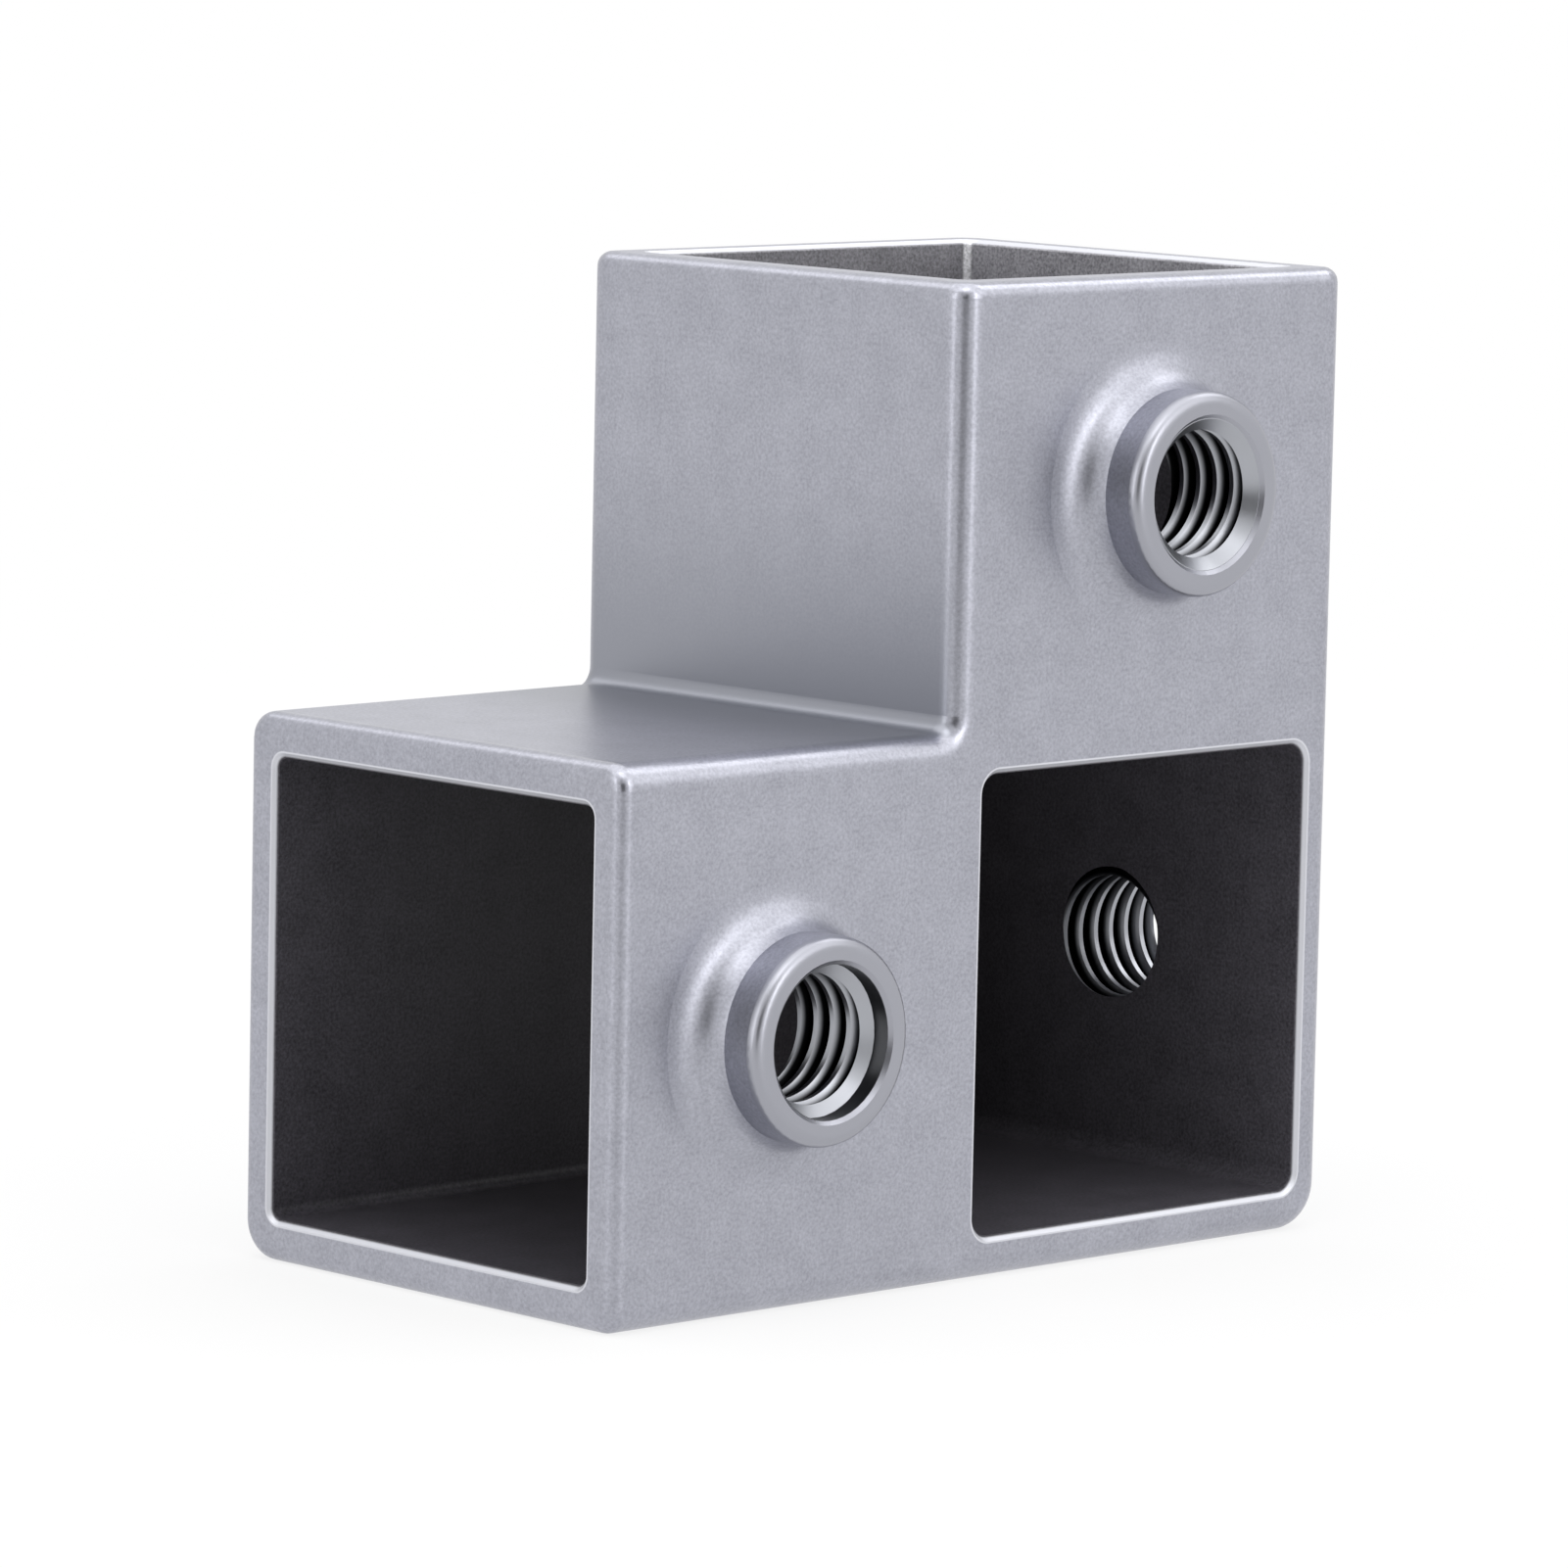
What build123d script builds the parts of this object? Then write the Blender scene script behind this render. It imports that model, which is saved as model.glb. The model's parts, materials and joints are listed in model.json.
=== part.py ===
from build123d import *
import os

# Three way corner connector for square tube: one die-cast body with three open sockets.
# The origin is the point where the three tube centre lines cross, in the middle of the corner.
# The lower arm runs towards -X and the upright arm towards +Z. The side socket is a square
# window in the corner's front wall, and opens towards -Y. The set screw of each socket has a
# tapped boss: two stand on the front of the arms, and the side socket's stands on the +X wall.

# tube and sockets
tube_side = 30.0                # outside width of the square tube
tube_clearance = 0.15           # gap between the tube and its socket, on each side
wall = 2.85                     # thickness of every wall
arm_reach = 29.0                # how far each arm stands out of the corner
socket_corner_radius = 0.75     # hollow corners that run along the sockets
window_corner_radius = 1.3      # corners of the side socket's window, and the corner it looks into

# outer edges
front_edge_radius = 1.65        # edges around the front face
back_edge_radius = 1.8          # back edges on the inside of the L
base_edge_radius = 2.6          # back edges on the outside of the L
heel_radius = 3.2               # outer corner under the upright arm
step_radius = 1.1               # inner corner between the two arms
mouth_edge_radius = 1.0         # outer edge of each arm's end face
rim_chamfer = 0.35              # inner edge of each mouth

# set screw bosses
screw_from_mouth = 14.0         # from an arm's end face to its set screw
thread_diameter = 10.0          # outside diameter of the set screw's thread
countersink_width = 0.25        # how far the 90 degree countersink widens the hole's mouth
boss_diameter = 13.5
boss_height = 4.85              # from the wall's outer face to the end of each front boss
side_boss_height = 6.6          # the same for the side socket's boss, whose hole is deeper
boss_rim = 0.87                 # the boss's rounded rim is this wide and this high
flare_width = 3.05              # the hollow curve around the boss starts this far from its side
flare_height = 1.95             # and meets that side at this height
flare_bend = 0.6                # the wall and the curve's last slope cross this far from that side

# sizes that follow
socket_half = tube_side / 2 + tube_clearance
outer_half = socket_half + wall
mouth_reach = outer_half + arm_reach            # from the centre to an arm's end face
screw_reach = mouth_reach - screw_from_mouth    # from the centre to an arm's set screw
overrun = wall / 2                              # how far a cutter passes a face, or a boss enters a wall


def elbow(half, reach, heel, step):
    """Two square arms that meet in an L, seen from the front, and as deep as they are wide."""
    corners = [(-reach, -half), (half, -half), (half, reach), (-half, reach), (-half, half), (-reach, half)]
    outline = make_face(Polyline(*corners, close=True))
    outline = fillet(outline.vertices().sort_by_distance((half, -half))[0], heel)
    outline = fillet(outline.vertices().sort_by_distance((-half, half))[0], step)
    return extrude(Plane.XZ * outline, amount=half, both=True)


def round_long_edges(solid, front_outside, front_inside, back_outside, back_inside):
    """Round the edges that run along an elbow's arms. Outside and inside are sides of the L."""
    for face, radius, is_outside in (
        (0, front_outside, True),
        (0, front_inside, False),
        (-1, back_outside, True),
        (-1, back_inside, False),
    ):
        around = solid.faces().filter_by(Axis.Y).sort_by(Axis.Y)[face].edges()
        ends = solid.faces().sort_by(Axis.X)[0].edges() + solid.faces().sort_by(Axis.Z)[-1].edges()
        along = (around - ends).filter_by(lambda edge: (edge.center().X > edge.center().Z) == is_outside)
        solid = fillet(along, radius)
    return solid


def shell():
    """The body without its bosses: an elbow with rounded edges, hollow, open at both ends and in front."""
    radii = (front_edge_radius, front_edge_radius, base_edge_radius, back_edge_radius)
    body = round_long_edges(elbow(outer_half, mouth_reach, heel_radius, step_radius), *radii)
    for axis, end in ((Axis.X, 0), (Axis.Z, -1)):
        body = fillet(body.faces().sort_by(axis)[end].edges(), mouth_edge_radius)

    hollow = elbow(socket_half, mouth_reach + overrun, window_corner_radius, socket_corner_radius)
    hollow = round_long_edges(hollow, *[socket_corner_radius] * 4)
    window = Plane.XZ * RectangleRounded(2 * socket_half, 2 * socket_half, window_corner_radius)
    body -= hollow + extrude(window, amount=outer_half + overrun)

    mouths = [body.faces().sort_by(axis)[end] for axis, end in ((Axis.X, 0), (Axis.Z, -1), (Axis.Y, 0))]
    return chamfer([edge for mouth in mouths for edge in mouth.inner_wires().edges()], rim_chamfer)


def boss(height):
    """A set screw boss on the plane Z = 0: a round post with a hollow curve around its foot."""
    post = boss_diameter / 2
    foot = (post + flare_width, 0)
    shoulder = (post, flare_height)
    rim_start = (post, height - boss_rim)
    rim_end = (post - boss_rim, height)
    flare = Bezier(foot, (post + flare_bend, 0), shoulder)
    rim = Bezier(rim_start, (post, height), rim_end)
    rest = Polyline(rim_end, (0, height), (0, -overrun), (foot[0], -overrun), foot)
    return revolve(make_face(Plane.XZ * (flare + Line(shoulder, rim_start) + rim + rest)), Axis.Z)


def screw_hole(height):
    """What is cut out of a boss and the wall under it. The thread's own ridges are not part of it."""
    bore = thread_diameter / 2
    widest = bore + countersink_width + overrun
    top = height + overrun
    bottom = -wall - overrun
    throat = height - countersink_width
    profile = Polyline((0, bottom), (bore, bottom), (bore, throat), (widest, top), (0, top), close=True)
    return revolve(make_face(Plane.XZ * profile), Axis.Z)


connector = shell()
screws = (
    (Plane(origin=(-screw_reach, -outer_half, 0), z_dir=(0, -1, 0)), boss_height),
    (Plane(origin=(0, -outer_half, screw_reach), z_dir=(0, -1, 0)), boss_height),
    (Plane(origin=(outer_half, 0, 0), z_dir=(1, 0, 0)), side_boss_height),
)
for place, height in screws:
    connector += place * boss(height)
for place, height in screws:
    connector -= place * screw_hole(height)

os.makedirs("parts", exist_ok=True)
export_step(connector, "parts/corner_connector.step")
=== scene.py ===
import bpy
import bmesh
import json
from math import hypot, pi, radians
from mathutils import Matrix, Vector


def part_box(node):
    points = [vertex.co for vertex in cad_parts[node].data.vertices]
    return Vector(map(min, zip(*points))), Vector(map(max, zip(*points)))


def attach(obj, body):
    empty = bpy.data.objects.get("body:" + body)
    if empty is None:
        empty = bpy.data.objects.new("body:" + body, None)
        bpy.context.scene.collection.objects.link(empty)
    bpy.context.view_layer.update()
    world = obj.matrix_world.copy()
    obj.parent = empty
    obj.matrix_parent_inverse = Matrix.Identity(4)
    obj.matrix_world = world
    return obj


# Three way corner connector for square tube: the casting from the frame, and a tapped thread in each boss.
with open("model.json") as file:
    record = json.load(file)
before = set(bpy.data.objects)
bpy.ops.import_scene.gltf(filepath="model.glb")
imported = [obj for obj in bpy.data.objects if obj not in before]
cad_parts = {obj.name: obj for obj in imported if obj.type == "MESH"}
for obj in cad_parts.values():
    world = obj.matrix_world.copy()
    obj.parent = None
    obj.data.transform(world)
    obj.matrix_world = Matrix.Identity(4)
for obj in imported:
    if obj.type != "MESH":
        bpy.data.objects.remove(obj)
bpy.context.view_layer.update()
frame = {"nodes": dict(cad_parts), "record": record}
mm = 0.001
socketHalf = 15.15 * mm     # from the centre to the walls inside
outerHalf = 18.0 * mm       # and to those outside
print("frame loaded")


def hexToLinear(hexColour):  # an sRGB hex colour as the linear RGBA that a socket takes
    channels = [int(hexColour[i:i + 2], 16) / 255 for i in (1, 3, 5)]
    return [c / 12.92 if c <= 0.04045 else ((c + 0.055) / 1.055) ** 2.4 for c in channels] + [1]


# inputs take a value, or another node's output. A Mix node's colours go in at 6 and 7, and come out at 2.
def addNode(tree, kind, place, settings={}, inputs={}):
    node = tree.nodes.new(kind)
    node.location = place
    for name, value in settings.items():
        setattr(node, name, value)
    for name, value in inputs.items():
        if isinstance(value, bpy.types.NodeSocket):
            tree.links.new(value, node.inputs[name])
        else:
            node.inputs[name].default_value = value
    return node


def newMaterial(name):
    material = bpy.data.materials.new(name)
    material.use_nodes = True
    material.node_tree.nodes.clear()
    return material, material.node_tree


def addObject(name, mesh):  # a finished bmesh becomes an object at the origin
    data = bpy.data.meshes.new(name)
    mesh.to_mesh(data)
    mesh.free()
    piece = bpy.data.objects.new(name, data)
    bpy.context.scene.collection.objects.link(piece)
    return piece


# Die-cast aluminium, bead blasted: a satin silver grey with a fine even grain. Inside the sockets a dull skin
# is coloured dark as painted shade, with painted light and shade in the upright mouth.
blastedCasting = {
    "light": "#B8B9C3",
    "dark": "#9697A0",
    "crookShade": "#92949C",        # painted shade, darker in the corner between the arms
    "crookReach": 18 * mm,
    "crookFade": (0.3 * mm, 0.05 * mm),  # how far behind its two faces that starts, and is full
    "faced": "#A3A4AC",        # the bosses' ends are cut flat, and their rims rubbed smooth
    "facedDepth": 0.9 * mm,
    "facedFade": 0.1,          # as a share of that depth, to either side
    "rim": "#D4D5DB",          # a painted highlight along the sockets' rims
    "rimWidth": 0.35 * mm,     # of the chamfer
    "rimFade": (0.1, 0.5),     # as shares of that width, from the socket's skin to bright metal
    "rimHighlightBand": 0.5 * mm,        # how far from the socket the painted highlight reaches onto the face around it
    "rubbedFade": 0.85,        # as a share of that, where it starts to end
    # painted shade: the dull skin inside the sockets is coloured dark
    "shadedSkin": "#49474D",
    "deepPaintedShade": "#2F2D31",     # painted shade, darker far from the mouths
    "skinGrain": (0.4, 1.6),   # the skin's tone in the darkest and in the lightest grain
    "depth": 30 * mm,
    "topPaintedLight": "#A2A1A7",      # painted light in the upright mouth, where the light falls in from above
    "topFade": 10 * mm,        # how deep it falls
    "topBackShade": "#88878C",      # painted shade: the light falls in at a slant and leaves the back wall darker
    "topBackFade": 0.7 * mm,   # how wide the change between the two walls is
    "topCornerHighlight": "#EDEDF1",    # a painted highlight on the rounded corners between the walls
    "topCornerFade": (0.55 * mm, 0.35 * mm),  # how far in from the walls' meeting it starts, and is full
    "roughness": 0.37,
    "edgeRoughness": 0.28,     # handling rubs the outer edges smoother than the faces between them
    "edgeWidth": 1.1 * mm,
    "edgeFade": ((0.02, 0.15), (0.8, 1.4)),  # as shares of that width, where it starts and where it ends
    "facedRoughness": 0.32,
    "rimRoughness": 0.55,
    "skinRoughness": 0.42,
    "skinShine": 0.2,          # the skin mirrors less than a clean surface does
    "grain": 0.22 * mm,        # real blast grit is about 0.1 mm, drawn twice as coarse so that it shows
    "grainDepth": 0.006 * mm,
    "grainBump": 0.6,
    "grainBreakup": 0.6,       # how strongly the finer grain shows in the coarser
    "mottle": 3.0 * mm,        # faint unevenness of the blasting
    "mottleShare": 0.35,       # of the grain's own weight
    "toneRange": (0.35, 1.0),  # of grain and mottle together, from dark to light
    "corners": {(0, 1, 1): 0.75 * mm, (1, 0, 1): 1.3 * mm, (1, 1, 0): 0.75 * mm},  # sockets along X, Y, Z
}


def blastedCastingMaterial(name):
    s = blastedCasting
    material, tree = newMaterial(name)
    place = addNode(tree, "ShaderNodeTexCoord", (-2600, 0)).outputs["Object"]

    # how far outside the nearest socket a point lies: 0 on the sockets' walls, more on every outer face
    wide = addNode(tree, "ShaderNodeVectorMath", (-2400, -600), {"operation": "ABSOLUTE"}, {0: place})
    reach = None
    for row, (across, corner) in enumerate(s["corners"].items()):
        y = -600 - 200 * row
        flat = addNode(tree, "ShaderNodeVectorMath", (-2200, y), {"operation": "MULTIPLY"}, {
            0: wide.outputs[0], 1: across})
        past = addNode(tree, "ShaderNodeVectorMath", (-2000, y), {"operation": "SUBTRACT"}, {
            0: flat.outputs[0], 1: [socketHalf - corner] * 3})
        over = addNode(tree, "ShaderNodeVectorMath", (-1800, y), {"operation": "MAXIMUM"}, {
            0: past.outputs[0], 1: [0] * 3})
        far = addNode(tree, "ShaderNodeVectorMath", (-1600, y), {"operation": "LENGTH"}, {0: over.outputs[0]})
        out = addNode(tree, "ShaderNodeMath", (-1400, y), {"operation": "SUBTRACT"}, {
            0: far.outputs["Value"], 1: corner}).outputs[0]
        if reach is None:
            reach = out
        else:
            reach = addNode(tree, "ShaderNodeMath", (-1200, y), {"operation": "MINIMUM"}, {
                0: reach, 1: out}).outputs[0]
    closed = addNode(tree, "ShaderNodeVectorMath", (-1400, -1200), {"operation": "MULTIPLY_ADD"}, {
        0: place, 1: (1, 1, -1), 2: [-socketHalf] * 3})
    sides = addNode(tree, "ShaderNodeSeparateXYZ", (-1200, -1200), {}, {0: closed.outputs[0]})
    for row, side in enumerate(sides.outputs):  # the right, back and lower walls have no mouth
        reach = addNode(tree, "ShaderNodeMath", (-1000, -900 - 200 * row), {"operation": "MAXIMUM"}, {
            0: reach, 1: side}).outputs[0]
    inner, outer = s["rimFade"]
    outside = addNode(tree, "ShaderNodeMapRange", (-800, -600), {"interpolation_type": "SMOOTHSTEP"}, {
        "Value": reach, "From Min": inner * s["rimWidth"], "From Max": outer * s["rimWidth"]}).outputs[0]
    pastRim = addNode(tree, "ShaderNodeMapRange", (-800, -900), {"interpolation_type": "SMOOTHSTEP"}, {
        "Value": reach, "From Min": s["rubbedFade"] * s["rimHighlightBand"], "From Max": s["rimHighlightBand"]}).outputs[0]

    # how deep in the corner between the arms a point lies, for the painted shade there: 1 in the corner, 0 on
    # faces that don't meet there
    away = addNode(tree, "ShaderNodeVectorMath", (-2200, -1400), {"operation": "MULTIPLY_ADD"}, {
        0: place, 1: (-1, 0, 1), 2: [-outerHalf] * 3})
    fromArms = addNode(tree, "ShaderNodeSeparateXYZ", (-2000, -1400), {}, {0: away.outputs[0]})
    least = addNode(tree, "ShaderNodeMath", (-1800, -1400), {"operation": "MINIMUM"}, {
        0: fromArms.outputs["X"], 1: fromArms.outputs["Z"]})
    between = addNode(tree, "ShaderNodeMapRange", (-1600, -1400), {}, {
        "Value": least.outputs[0], "From Min": -s["crookFade"][0], "From Max": -s["crookFade"][1]})
    along = addNode(tree, "ShaderNodeMath", (-1800, -1600), {"operation": "ADD"}, {
        0: fromArms.outputs["X"], 1: fromArms.outputs["Z"]})
    inCrook = addNode(tree, "ShaderNodeMapRange", (-1600, -1600), {"interpolation_type": "SMOOTHSTEP"}, {
        "Value": along.outputs[0], "From Max": s["crookReach"], "To Min": 1, "To Max": 0})
    crookShadeMask = addNode(tree, "ShaderNodeMath", (-1400, -1500), {"operation": "MULTIPLY"}, {
        0: between.outputs[0], 1: inCrook.outputs[0]})

    # how far in from the nearest mouth a point lies: the left one, the upper one and the window
    low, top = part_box("corner_connector")
    way = addNode(tree, "ShaderNodeSeparateXYZ", (-2200, -1800), {}, {0: place})
    fromLeft = addNode(tree, "ShaderNodeMath", (-2000, -1800), {"operation": "SUBTRACT"}, {
        0: way.outputs["X"], 1: low.x})
    fromTop = addNode(tree, "ShaderNodeMath", (-2000, -2000), {"operation": "SUBTRACT"}, {
        0: top.z, 1: way.outputs["Z"]})
    fromFront = addNode(tree, "ShaderNodeMath", (-2000, -2200), {"operation": "SUBTRACT"}, {
        0: way.outputs["Y"], 1: -outerHalf})
    inArms = addNode(tree, "ShaderNodeMath", (-1800, -2400), {"operation": "MAXIMUM"}, {
        0: fromArms.outputs["X"], 1: fromArms.outputs["Z"]})
    fromWindow = addNode(tree, "ShaderNodeMath", (-1600, -2200), {"operation": "MAXIMUM"}, {
        0: fromFront.outputs[0], 1: inArms.outputs[0]})
    fromEnds = addNode(tree, "ShaderNodeMath", (-1800, -1900), {"operation": "MINIMUM"}, {
        0: fromLeft.outputs[0], 1: fromTop.outputs[0]})
    inward = addNode(tree, "ShaderNodeMath", (-1400, -2000), {"operation": "MINIMUM"}, {
        0: fromEnds.outputs[0], 1: fromWindow.outputs[0]})
    # painted shade, deeper away from the mouths
    shadeDeepening = addNode(tree, "ShaderNodeMapRange", (-1200, -2000), {}, {
        "Value": inward.outputs[0], "From Max": s["depth"]})

    # the rounded edges around the front face and the end faces start just behind those faces
    behind = addNode(tree, "ShaderNodeMath", (-1800, -2600), {"operation": "MINIMUM"}, {
        0: fromEnds.outputs[0], 1: fromFront.outputs[0]})
    steps = []
    for y, fade in zip((-2400, -2600), s["edgeFade"]):
        first, last = [share * s["edgeWidth"] for share in fade]
        steps.append(addNode(tree, "ShaderNodeMapRange", (-1600, y), {"interpolation_type": "SMOOTHSTEP"}, {
            "Value": behind.outputs[0], "From Min": first, "From Max": last}).outputs[0])
    onEdge = addNode(tree, "ShaderNodeMath", (-1400, -2500), {"operation": "SUBTRACT", "use_clamp": True}, {
        0: steps[0], 1: steps[1]})

    # the bosses' ends are the furthest points to the front and to the right
    pastFront = addNode(tree, "ShaderNodeMath", (-2000, -2700), {"operation": "SUBTRACT"}, {
        0: low.y, 1: way.outputs["Y"]})
    pastRight = addNode(tree, "ShaderNodeMath", (-2000, -2900), {"operation": "SUBTRACT"}, {
        0: way.outputs["X"], 1: top.x})
    nearEnd = addNode(tree, "ShaderNodeMath", (-1800, -2800), {"operation": "MAXIMUM"}, {
        0: pastFront.outputs[0], 1: pastRight.outputs[0]})
    faced = addNode(tree, "ShaderNodeMapRange", (-1600, -2800), {"interpolation_type": "SMOOTHSTEP"}, {
        "Value": nearEnd.outputs[0], "From Min": -(1 + s["facedFade"]) * s["facedDepth"],
        "From Max": -(1 - s["facedFade"]) * s["facedDepth"]})

    # the blasted grain, and the tone of the outer faces
    grain = addNode(tree, "ShaderNodeTexNoise", (-2200, 300), {}, {
        "Vector": place, "Scale": 1 / s["grain"], "Detail": 2, "Roughness": s["grainBreakup"]})
    mottle = addNode(tree, "ShaderNodeTexNoise", (-2200, 0), {}, {
        "Vector": place, "Scale": 1 / s["mottle"], "Detail": 3})
    speckle = addNode(tree, "ShaderNodeMath", (-2000, 200), {"operation": "MULTIPLY_ADD"}, {
        0: mottle.outputs["Fac"], 1: s["mottleShare"], 2: grain.outputs["Fac"]})
    dim, bright = s["toneRange"]
    tone = addNode(tree, "ShaderNodeMapRange", (-1800, 200), {}, {
        "Value": speckle.outputs[0], "From Min": dim, "From Max": bright}).outputs[0]
    blasted = addNode(tree, "ShaderNodeMix", (-1200, 300), {"data_type": "RGBA"}, {
        "Factor": tone, 6: hexToLinear(s["dark"]), 7: hexToLinear(s["light"])})
    # painted shade in the corner between the arms
    shaded = addNode(tree, "ShaderNodeMix", (-1000, 300), {"data_type": "RGBA"}, {
        "Factor": crookShadeMask.outputs[0], 6: blasted.outputs[2], 7: hexToLinear(s["crookShade"])})
    cut = addNode(tree, "ShaderNodeMix", (-800, 300), {"data_type": "RGBA"}, {
        "Factor": faced.outputs[0], 6: shaded.outputs[2], 7: hexToLinear(s["faced"])})
    # a painted highlight along the sockets' rims
    rimHighlightBand = addNode(tree, "ShaderNodeMix", (-600, 300), {"data_type": "RGBA"}, {
        "Factor": pastRim, 6: hexToLinear(s["rim"]), 7: cut.outputs[2]})

    # the skin inside the sockets, darkened with painted shade that deepens away from the mouths
    shadedSkin = addNode(tree, "ShaderNodeMix", (-1000, 0), {"data_type": "RGBA"}, {
        "Factor": shadeDeepening.outputs[0], 6: hexToLinear(s["shadedSkin"]), 7: hexToLinear(s["deepPaintedShade"])})
    # painted light falling into the upright mouth from above
    nearTop = addNode(tree, "ShaderNodeMapRange", (-1000, -200), {"interpolation_type": "SMOOTHSTEP"}, {
        "Value": way.outputs["Z"], "From Min": top.z - s["topFade"], "From Max": top.z})
    # painted shade on the upright mouth's back wall
    atBack = addNode(tree, "ShaderNodeMapRange", (-1600, -300), {}, {
        "Value": way.outputs["Y"], "From Min": socketHalf - s["topBackFade"], "From Max": socketHalf})
    topWalls = addNode(tree, "ShaderNodeMix", (-1400, -300), {"data_type": "RGBA"}, {
        "Factor": atBack.outputs[0], 6: hexToLinear(s["topPaintedLight"]), 7: hexToLinear(s["topBackShade"])})
    # a painted highlight in the corners between the upright mouth's walls
    widths = addNode(tree, "ShaderNodeSeparateXYZ", (-2000, -400), {}, {0: wide.outputs[0]})
    both = addNode(tree, "ShaderNodeMath", (-1800, -400), {"operation": "MINIMUM"}, {
        0: widths.outputs["X"], 1: widths.outputs["Y"]})
    starts, full = s["topCornerFade"]
    inCorner = addNode(tree, "ShaderNodeMapRange", (-1600, -450), {"interpolation_type": "SMOOTHSTEP"}, {
        "Value": both.outputs[0], "From Min": socketHalf - starts, "From Max": socketHalf - full})
    topInside = addNode(tree, "ShaderNodeMix", (-1200, -300), {"data_type": "RGBA"}, {
        "Factor": inCorner.outputs[0], 6: topWalls.outputs[2], 7: hexToLinear(s["topCornerHighlight"])})
    lit = addNode(tree, "ShaderNodeMix", (-800, 0), {"data_type": "RGBA"}, {
        "Factor": nearTop.outputs[0], 6: shadedSkin.outputs[2], 7: topInside.outputs[2]})
    skinTone = addNode(tree, "ShaderNodeMapRange", (-800, 100), {}, {
        "Value": tone, "To Min": s["skinGrain"][0], "To Max": s["skinGrain"][1]})
    grained = addNode(tree, "ShaderNodeMix", (-600, 0), {"data_type": "RGBA", "blend_type": "MULTIPLY"}, {
        "Factor": 1, 6: lit.outputs[2], 7: skinTone.outputs[0]})
    colour = addNode(tree, "ShaderNodeMix", (-400, 200), {"data_type": "RGBA"}, {
        "Factor": outside, 6: grained.outputs[2], 7: rimHighlightBand.outputs[2]})

    blastedSheen = addNode(tree, "ShaderNodeMapRange", (-800, -200), {}, {
        "Value": onEdge.outputs[0], "To Min": s["roughness"], "To Max": s["edgeRoughness"]})
    worked = addNode(tree, "ShaderNodeMapRange", (-600, -200), {}, {
        "Value": faced.outputs[0], "To Min": blastedSheen.outputs[0], "To Max": s["facedRoughness"]})
    worn = addNode(tree, "ShaderNodeMapRange", (-500, -350), {}, {
        "Value": pastRim, "To Min": s["rimRoughness"], "To Max": worked.outputs[0]})
    roughness = addNode(tree, "ShaderNodeMapRange", (-400, -200), {}, {
        "Value": outside, "To Min": s["skinRoughness"], "To Max": worn.outputs[0]})
    bump = addNode(tree, "ShaderNodeBump", (-400, -500), {}, {
        "Height": grain.outputs["Fac"], "Strength": s["grainBump"], "Distance": s["grainDepth"]})
    shader = addNode(tree, "ShaderNodeBsdfPrincipled", (-100, 0), {}, {  # bare metal outside, skin inside
        "Base Color": colour.outputs[2], "Metallic": outside, "Roughness": roughness.outputs[0],
        "Specular IOR Level": s["skinShine"], "Normal": bump.outputs["Normal"]})
    addNode(tree, "ShaderNodeOutputMaterial", (200, 0), {}, {"Surface": shader.outputs[0]})
    return material


castMetal = blastedCastingMaterial("blasted_die_cast_aluminium")

# Cut aluminium, as a tap leaves it: bright smooth crests, and grooves darkened with painted shade.
tappedMetal = {
    "crest": "#A9ABB1",
    # painted shade in the thread's roots
    "groove": "#0B0B0C",
    "roughness": (0.27, 0.37),
    "toolMark": 0.12 * mm,     # fine scoring along the cut
    "rootShaded": (0.25, 0.85),     # how far down the groove the painted shade starts to show, and where it is full
}


def tappedMetalMaterial(name):
    s = tappedMetal
    material, tree = newMaterial(name)
    place = addNode(tree, "ShaderNodeTexCoord", (-900, 0)).outputs["Object"]
    marks = addNode(tree, "ShaderNodeTexNoise", (-650, 0), {}, {
        "Vector": place, "Scale": 1 / s["toolMark"], "Detail": 2})
    sheen = addNode(tree, "ShaderNodeMapRange", (-400, 0), {}, {
        "Value": marks.outputs["Fac"], "To Min": s["roughness"][0], "To Max": s["roughness"][1]})
    # painted shade carried by each point: 0 on the crests, more in the roots, deeper in the hole and on a
    # counterbore's wall
    down = addNode(tree, "ShaderNodeAttribute", (-650, 300), {"attribute_name": "rootShade"})
    rootShade = addNode(tree, "ShaderNodeMapRange", (-400, 300), {"interpolation_type": "SMOOTHSTEP"}, {
        "Value": down.outputs["Fac"], "From Min": s["rootShaded"][0], "From Max": s["rootShaded"][1]})
    colour = addNode(tree, "ShaderNodeMix", (-200, 200), {"data_type": "RGBA"}, {
        "Factor": rootShade.outputs[0], 6: hexToLinear(s["crest"]), 7: hexToLinear(s["groove"])})
    shader = addNode(tree, "ShaderNodeBsdfPrincipled", (0, 0), {}, {
        "Base Color": colour.outputs[2], "Metallic": 1, "Roughness": sheen.outputs[0]})
    addNode(tree, "ShaderNodeOutputMaterial", (300, 0), {}, {"Surface": shader.outputs[0]})
    return material


cutMetal = tappedMetalMaterial("tap_cut_aluminium")

casting = frame["nodes"]["corner_connector"]
for slot in casting.material_slots:
    slot.material = castMetal
print("casting finished")

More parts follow.
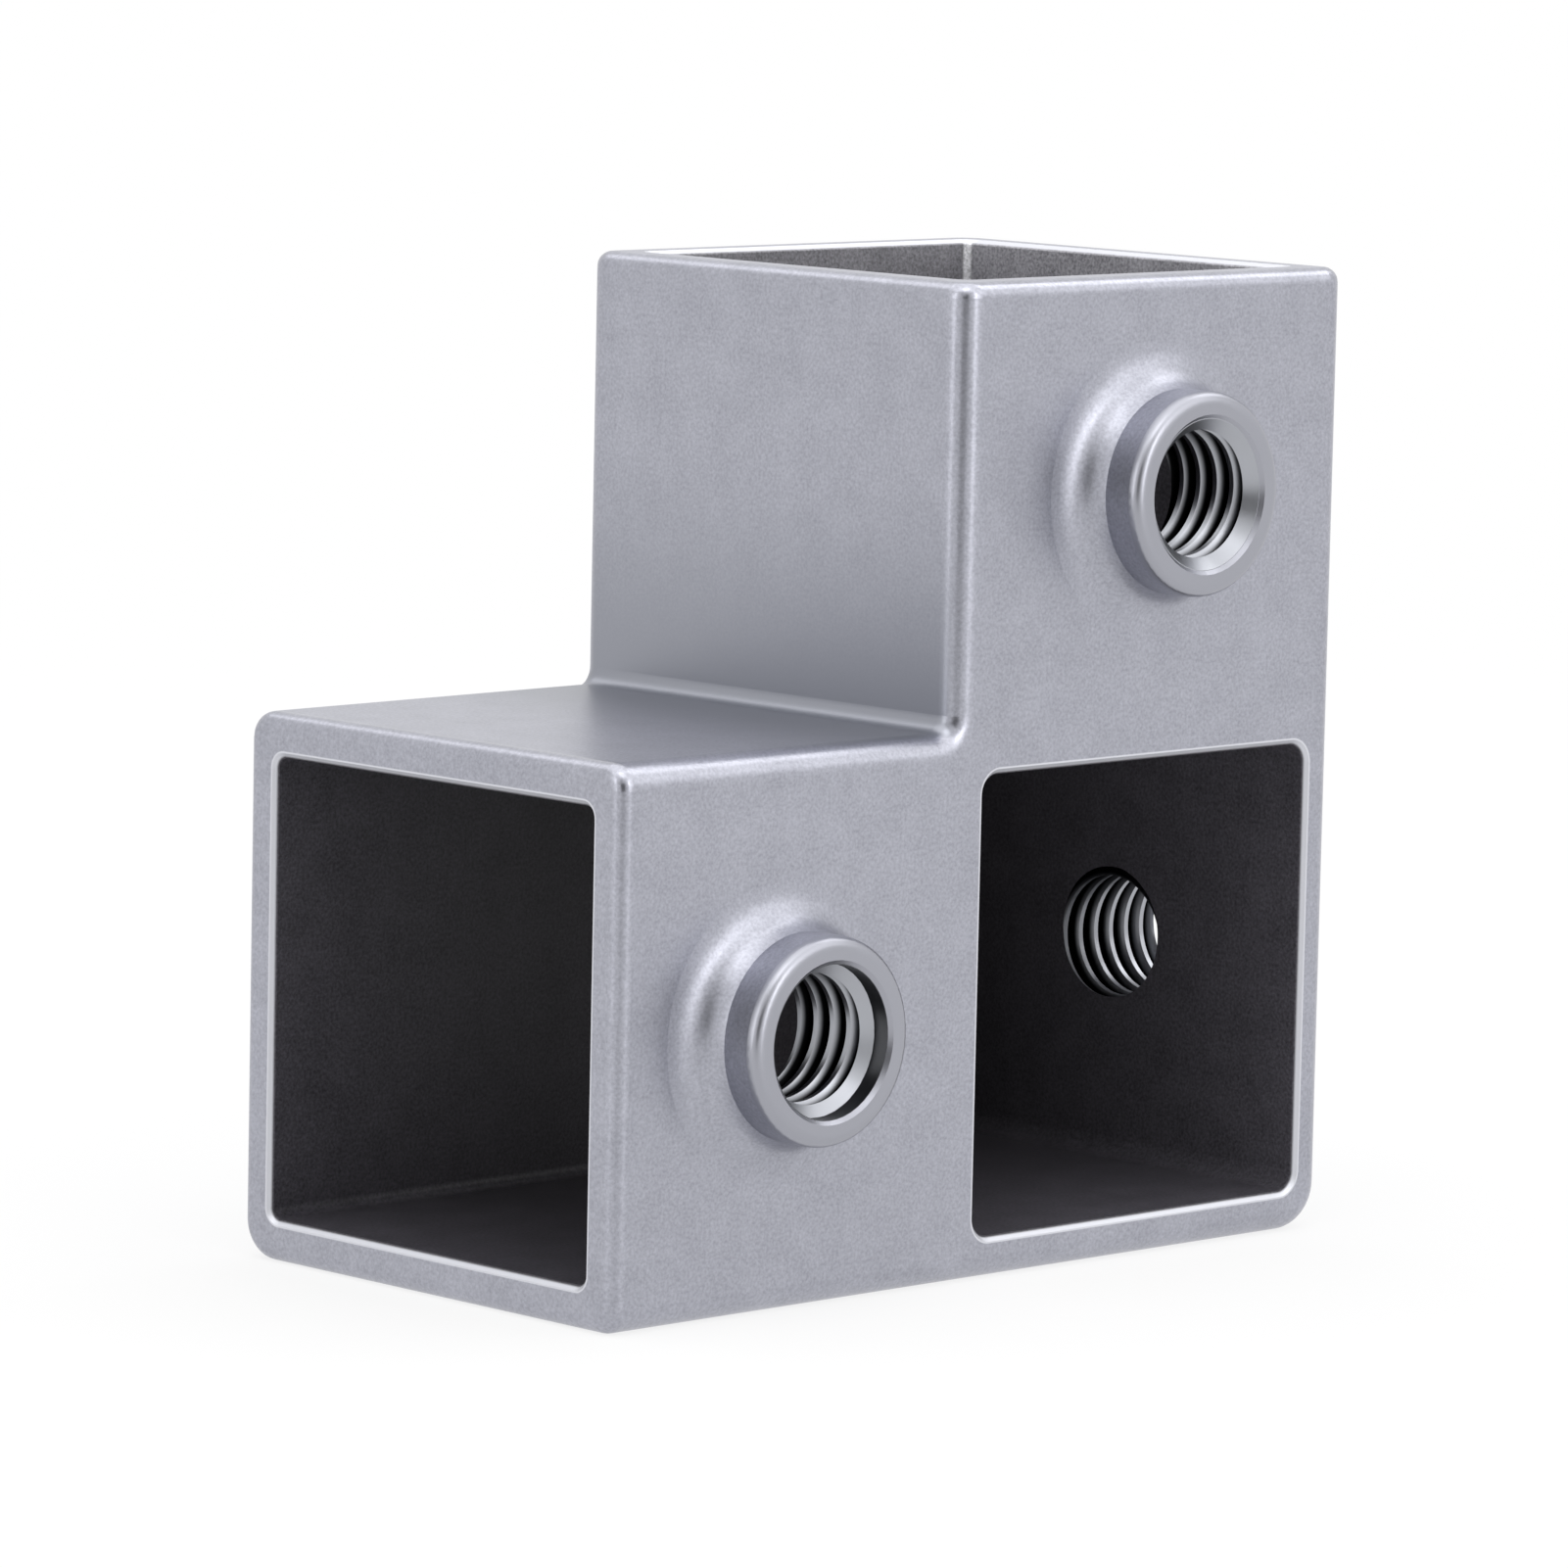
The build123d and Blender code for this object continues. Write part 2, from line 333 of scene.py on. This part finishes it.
# M10 x 1.5, right hand. Each thread is a sleeve that lines its bored hole and opens out at the boss's end.
thread = {
    "major": 4.95 * mm,       # the grooves' radius, just clear of the facets of the hole's 5 mm wall
    "minor": 4.19 * mm,       # the crests' radius
    "pitch": 1.5 * mm,
    "crestFlat": 0.375 * mm,
    "grooveFlat": 0.1875 * mm,
    "stepsAround": 96,
    "stepsAlong": 7,          # cuts in each edge of the profile
    "spareTurns": 3,          # the thread is made longer than the hole, then trimmed
    "sharpAngle": 25,         # degrees
    "weld": 0.0005 * mm,      # how close points count as one
    "innerShade": 0.5,          # more painted shade towards the socket
    "boreShade": 0.66,          # and painted shade on a counterbore's wall
    "starts": {  # where each thread starts in degrees, and how deep its counterbore and its lead-in go
        "left_set_screw": (150, 1.2 * mm, 0.55 * mm),
        "upright_set_screw": (270, 0, 0.76 * mm),
        "side_set_screw": (200, 0, 0.25 * mm),
    },
}


def threadSleeve(mount):
    s = thread
    name = mount["name"]
    axis = Vector(mount["axis"])
    hole = mount["dims"]["r_mm"] * mm
    depth = mount["dims"]["length_mm"] * mm
    turnTo, bore, leadIn = s["starts"][name]
    turns = int(depth / s["pitch"]) + s["spareTurns"]
    flank = (s["pitch"] - s["crestFlat"] - s["grooveFlat"]) / 2
    crest = s["grooveFlat"] + flank
    along = [0, s["grooveFlat"], crest, crest + s["crestFlat"], s["pitch"]]
    radii = [s["major"], s["major"], s["minor"], s["minor"], s["major"]]

    mesh = bmesh.new()  # the axis is Z here, the sleeve's mouth is at z = 0 and the thread runs down
    points = [mesh.verts.new((r, 0, z)) for r, z in zip(radii, along)]
    for a, b in zip(points, points[1:]):
        mesh.edges.new((a, b))
    bmesh.ops.subdivide_edges(mesh, edges=mesh.edges[:], cuts=s["stepsAlong"])
    bmesh.ops.rotate(mesh, verts=mesh.verts[:], cent=(0, 0, 0),
                     matrix=Matrix.Rotation(radians(turnTo), 3, "Z"))
    bmesh.ops.translate(mesh, verts=mesh.verts[:], vec=(0, 0, -(turns - 1) * s["pitch"]))
    steps = s["stepsAround"] * turns
    bmesh.ops.spin(mesh, geom=mesh.verts[:] + mesh.edges[:], cent=(0, 0, 0), axis=(0, 0, 1),
                   dvec=(0, 0, s["pitch"] / s["stepsAround"]), angle=2 * pi * turns, steps=steps)
    bmesh.ops.remove_doubles(mesh, verts=mesh.verts[:], dist=s["weld"])
    # trim both ends square, and cut rings in where the counterbore and the lead-in end
    for z, up in ((0, 1), (-bore, 0), (-bore - leadIn, 0), (-depth, -1)):
        bmesh.ops.bisect_plane(mesh, geom=mesh.verts[:] + mesh.edges[:] + mesh.faces[:], dist=s["weld"],
                               plane_co=(0, 0, z), plane_no=(0, 0, up or 1), clear_outer=up != 0)
    # painted shade: the roots, the far end of the hole and a counterbore's wall are darker
    rootShade = mesh.verts.layers.float.new("rootShade")
    groove = s["major"] - s["minor"]
    for v in mesh.verts:  # the counterbore and the lead-in are plain, and the thread starts behind them
        r = hypot(v.co.x, v.co.y)
        past = -v.co.z - bore
        if past < leadIn + 2 * s["weld"]:
            wide = s["major"] - groove * max(0, past) / leadIn
            v[rootShade] = s["boreShade"] if bore > 0 and past < 2 * s["weld"] else 0
        else:
            wide = r
            v[rootShade] = (r - s["minor"]) / groove - s["innerShade"] * v.co.z / depth
        v.co.x *= wide / r
        v.co.y *= wide / r
    rims = [e for e in mesh.edges if e.is_boundary]
    top = [e for e in rims if all(v.co.z > -depth / 2 for v in e.verts)]
    low = [e for e in rims if all(v.co.z < -depth / 2 for v in e.verts)]
    outer = []
    for loop, index in ((top, 0), (low, 1)):  # the inner end face is part of the socket's own wall
        ring = bmesh.ops.extrude_edge_only(mesh, edges=loop)["geom"]
        for v in [g for g in ring if isinstance(g, bmesh.types.BMVert)]:  # each end reaches the hole's wall
            r = hypot(v.co.x, v.co.y)
            v.co.x *= hole / r
            v.co.y *= hole / r
        for face in [g for g in ring if isinstance(g, bmesh.types.BMFace)]:
            face.material_index = index
        outer += [g for g in ring if isinstance(g, bmesh.types.BMEdge) and g.is_boundary]
    bmesh.ops.bridge_loops(mesh, edges=outer)
    bmesh.ops.recalc_face_normals(mesh, faces=mesh.faces[:])

    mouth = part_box("corner_connector")
    end = Vector(mount["pos_m"])
    across = max(range(3), key=lambda i: abs(axis[i]))
    end[across] = mouth[1][across] if axis[across] > 0 else mouth[0][across]  # the boss's end face
    start = end - axis * (abs(end[across]) - socketHalf - depth)  # the foot of the hole's countersink
    turn = axis.to_track_quat("Z", "Y").to_matrix().to_4x4()
    bmesh.ops.transform(mesh, verts=mesh.verts[:], matrix=Matrix.Translation(start) @ turn)
    piece = addObject(name + "_thread", mesh)
    piece.data.shade_smooth()
    piece.data.set_sharp_from_angle(angle=radians(s["sharpAngle"]))
    piece.data.materials.append(cutMetal)
    piece.data.materials.append(castMetal)
    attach(piece, "root")
    print(piece.name, len(piece.data.polygons), "faces")


for mount in frame["record"]["mounts"]:
    if mount["kind"] == "threaded_hole":
        threadSleeve(mount)
print("threads cut")

studio = {
    "floor": "#F4F4F4",
    "floorHalf": 4.0,          # metres
    "glow": 0.8,               # how much of the floor's white is its own, for the camera and in reflections
    "allWhite": (0.12, 0.45),  # metres from the part where it starts to be more, and where it is all
    "ambient": 0.6,            # of the world's white, as light on matt surfaces
}


def seenRay(tree):  # 1 for what the camera sees, straight or mirrored, and 0 for light on matt surfaces
    ray = addNode(tree, "ShaderNodeLightPath", (-900, 0))
    mirrored = addNode(tree, "ShaderNodeMath", (-700, 0), {"operation": "MAXIMUM"}, {
        0: ray.outputs["Is Glossy Ray"], 1: ray.outputs["Is Transmission Ray"]})
    seen = addNode(tree, "ShaderNodeMath", (-500, 0), {"operation": "MAXIMUM"}, {
        0: ray.outputs["Is Camera Ray"], 1: mirrored.outputs[0]})
    return seen.outputs[0]


def studioFloor():
    s = studio
    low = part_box("corner_connector")[0]
    mesh = bmesh.new()
    bmesh.ops.create_grid(mesh, x_segments=1, y_segments=1, size=s["floorHalf"])
    bmesh.ops.translate(mesh, verts=mesh.verts[:], vec=(0, 0, low.z))
    floor = addObject("studio_floor", mesh)
    material, tree = newMaterial("matt_white_paper_sweep")  # plain studio paper
    diffuse = addNode(tree, "ShaderNodeBsdfDiffuse", (-300, 0), {}, {"Color": hexToLinear(s["floor"])})
    white = addNode(tree, "ShaderNodeEmission", (-300, -150), {}, {"Color": (1, 1, 1, 1), "Strength": 1})
    place = addNode(tree, "ShaderNodeTexCoord", (-900, 500)).outputs["Object"]
    away = addNode(tree, "ShaderNodeVectorMath", (-700, 500), {"operation": "LENGTH"}, {0: place})
    glow = addNode(tree, "ShaderNodeMapRange", (-500, 500), {"interpolation_type": "SMOOTHSTEP"}, {
        "Value": away.outputs["Value"], "From Min": s["allWhite"][0], "From Max": s["allWhite"][1],
        "To Min": s["glow"], "To Max": 1})
    share = addNode(tree, "ShaderNodeMath", (-300, 200), {"operation": "MULTIPLY"}, {
        0: seenRay(tree), 1: glow.outputs[0]})
    mix = addNode(tree, "ShaderNodeMixShader", (0, 0), {}, {
        0: share.outputs[0], 1: diffuse.outputs[0], 2: white.outputs[0]})
    addNode(tree, "ShaderNodeOutputMaterial", (200, 0), {}, {"Surface": mix.outputs[0]})
    floor.data.materials.append(material)


studioFloor()


def studioWorld():
    world = bpy.data.worlds.new("white_studio")
    bpy.context.scene.world = world
    world.use_nodes = True
    tree = world.node_tree
    tree.nodes.clear()
    strength = addNode(tree, "ShaderNodeMapRange", (-300, 0), {}, {
        "Value": seenRay(tree), "To Min": studio["ambient"], "To Max": 1})
    back = addNode(tree, "ShaderNodeBackground", (-100, 0), {}, {
        "Color": (1, 1, 1, 1), "Strength": strength.outputs[0]})
    addNode(tree, "ShaderNodeOutputWorld", (100, 0), {}, {"Surface": back.outputs[0]})


studioWorld()

# softboxes: where each stands, its sides in metres and its power
softboxes = {
    "left_strip": {"at": (-0.75, 0.10, 0.12), "size": (0.2, 0.7), "watts": 0.75},
    "front_strip": {"at": (0.05, -0.75, 0.12), "size": (0.2, 0.7), "watts": 1.0},
    "front_bank": {"at": (0.42, -0.9, 0.7), "size": (1.3, 0.9), "watts": 3.0},
    "overhead": {"at": (-0.1, 0.1, 1.0), "size": (1.6, 1.6), "watts": 7.0},
    "corner_box": {"at": (-0.36, -0.33, 1.0), "size": (0.5, 0.5), "watts": 0.9},
    "edge_box": {"at": (0.75, -0.12, 0.8), "size": (0.45, 0.45), "watts": 1.0},
}
middle = Vector((-0.0144, 0, 0.0146))
for name, s in softboxes.items():
    lamp = bpy.data.lights.new(name, "AREA")
    lamp.shape = "RECTANGLE"
    lamp.size, lamp.size_y = s["size"]
    lamp.energy = s["watts"]
    box = bpy.data.objects.new(name, lamp)
    box.location = s["at"]
    box.rotation_euler = (middle - box.location).to_track_quat("-Z", "Y").to_euler()
    box.visible_camera = False
    bpy.context.scene.collection.objects.link(box)

blackCard = {"at": Vector((-0.45, -0.45, 0.11)), "size": (0.34, 0.42), "colour": "#303030"}


def studioCard():  # a dark card behind the camera, which rounded edges reflect as a dark line
    s = blackCard
    mesh = bmesh.new()
    bmesh.ops.create_grid(mesh, x_segments=1, y_segments=1, size=0.5)  # a metre wide, to be scaled
    bmesh.ops.scale(mesh, verts=mesh.verts[:], vec=(*s["size"], 1))
    turn = (middle - s["at"]).to_track_quat("-Z", "Y").to_matrix().to_4x4()
    bmesh.ops.transform(mesh, verts=mesh.verts[:], matrix=Matrix.Translation(s["at"]) @ turn)
    card = addObject("black_card", mesh)
    card.visible_camera = card.visible_shadow = card.visible_diffuse = False
    material, tree = newMaterial("black_card_board")
    face = addNode(tree, "ShaderNodeBsdfDiffuse", (-200, 0), {}, {"Color": hexToLinear(s["colour"])})
    addNode(tree, "ShaderNodeOutputMaterial", (0, 0), {}, {"Surface": face.outputs[0]})
    card.data.materials.append(material)


studioCard()

view = {
    "at": Vector((-0.3961, -0.3966, 0.0821)),
    "lens": 192.6,            # this and the sensor in mm
    "sensor": 36,
    "roll": 1.22,             # degrees
    "shift": (-0.0110, -0.0186),
    "clip": (0.01, 20),       # metres
}
lens = bpy.data.cameras.new("view_camera")
lens.sensor_width = view["sensor"]
lens.lens = view["lens"]
lens.shift_x, lens.shift_y = view["shift"]
lens.clip_start, lens.clip_end = view["clip"]
camera = bpy.data.objects.new("view_camera", lens)
camera.location = view["at"]
aim = (middle - view["at"]).to_track_quat("-Z", "Y").to_matrix()
camera.rotation_euler = (aim @ Matrix.Rotation(radians(view["roll"]), 3, "Z")).to_euler()
scene = bpy.context.scene
scene.collection.objects.link(camera)
scene.camera = camera
scene.view_settings.view_transform = "Standard"
print("studio set")
